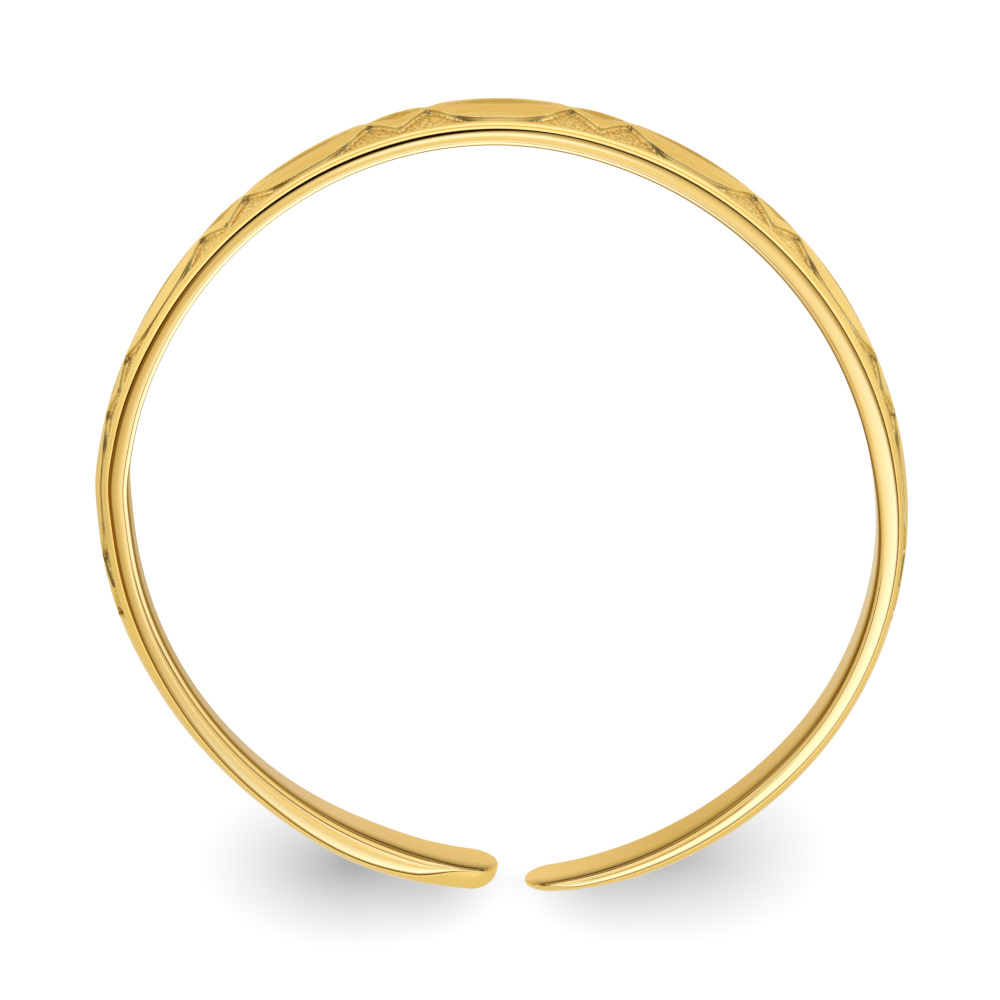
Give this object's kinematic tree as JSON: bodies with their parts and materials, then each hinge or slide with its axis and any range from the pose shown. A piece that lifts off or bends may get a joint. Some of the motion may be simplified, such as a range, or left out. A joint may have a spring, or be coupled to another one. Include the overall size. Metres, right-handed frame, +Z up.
{
  "type": "toe ring",
  "caption": "Open toe ring: a domed gold band, wide and ornamented at the front, tapering to two rounded loose ends with a narrow gap between them.",
  "frame": {"origin": "centre of the round that the band is bent to, on the surface that the ring lies on", "axes": "+Z up, through the hole that the toe goes in, with the ring lying on its side on its lower rim; +Y towards the wide ornamented front; +X to the right of it seen from above, with the gap at -Y"},
  "size_m": [0.0163, 0.016, 0.0034],
  "materials": {
    "gold": "polished yellow gold; satin on the raised motifs, stippled on the sunken ground"
  },
  "bodies": {
    "root": {"band": "gold"}
  },
  "joints": []
}
